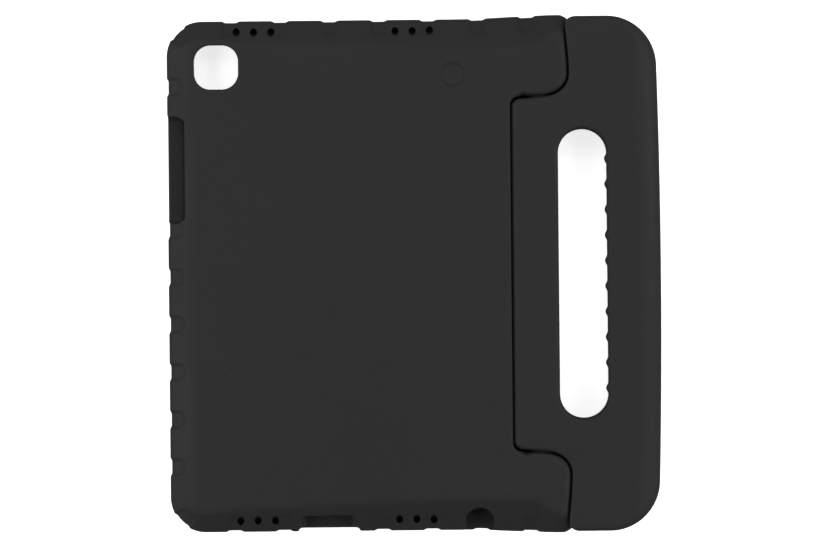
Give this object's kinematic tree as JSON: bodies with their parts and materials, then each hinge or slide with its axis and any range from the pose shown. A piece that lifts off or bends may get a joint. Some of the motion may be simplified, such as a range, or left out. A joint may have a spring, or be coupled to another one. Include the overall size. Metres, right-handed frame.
{
  "type": "tablet case",
  "caption": "Soft foam tablet case with port cut-outs and a loop handle at one edge that folds back on a pinned hinge to become a stand.",
  "frame": {"origin": "centre of the bounding box's bottom face, on the plane that the front rim rests on", "axes": "+X from the case body towards the handle, +Y along the hinge towards the camera hole, +Z out of the back of the case"},
  "size_m": [0.2548, 0.2674, 0.02],
  "materials": {
    "foam": "matte moulded closed-cell foam with a fine skin texture",
    "bush_plastic": "black acetal",
    "pin_plastic": "black glass-filled nylon",
    "ring_rubber": "black rubber"
  },
  "bodies": {
    "case": {"body_shell": "foam", "ear_bush_top": "bush_plastic", "ear_bush_bottom": "bush_plastic"},
    "handle": {"handle_loop": "foam", "hinge_pin_top": "pin_plastic", "hinge_pin_bottom": "pin_plastic", "thrust_washer_top": "bush_plastic", "thrust_washer_bottom": "bush_plastic", "friction_ring_top": "ring_rubber", "friction_ring_bottom": "ring_rubber"}
  },
  "joints": [
    {"name": "handle_hinge", "type": "hinge", "parent": "case", "child": "handle", "pos_m": [0.065, 0, 0.01], "axis": [0, -1, 0], "range_deg": [0, 90]}
  ]
}
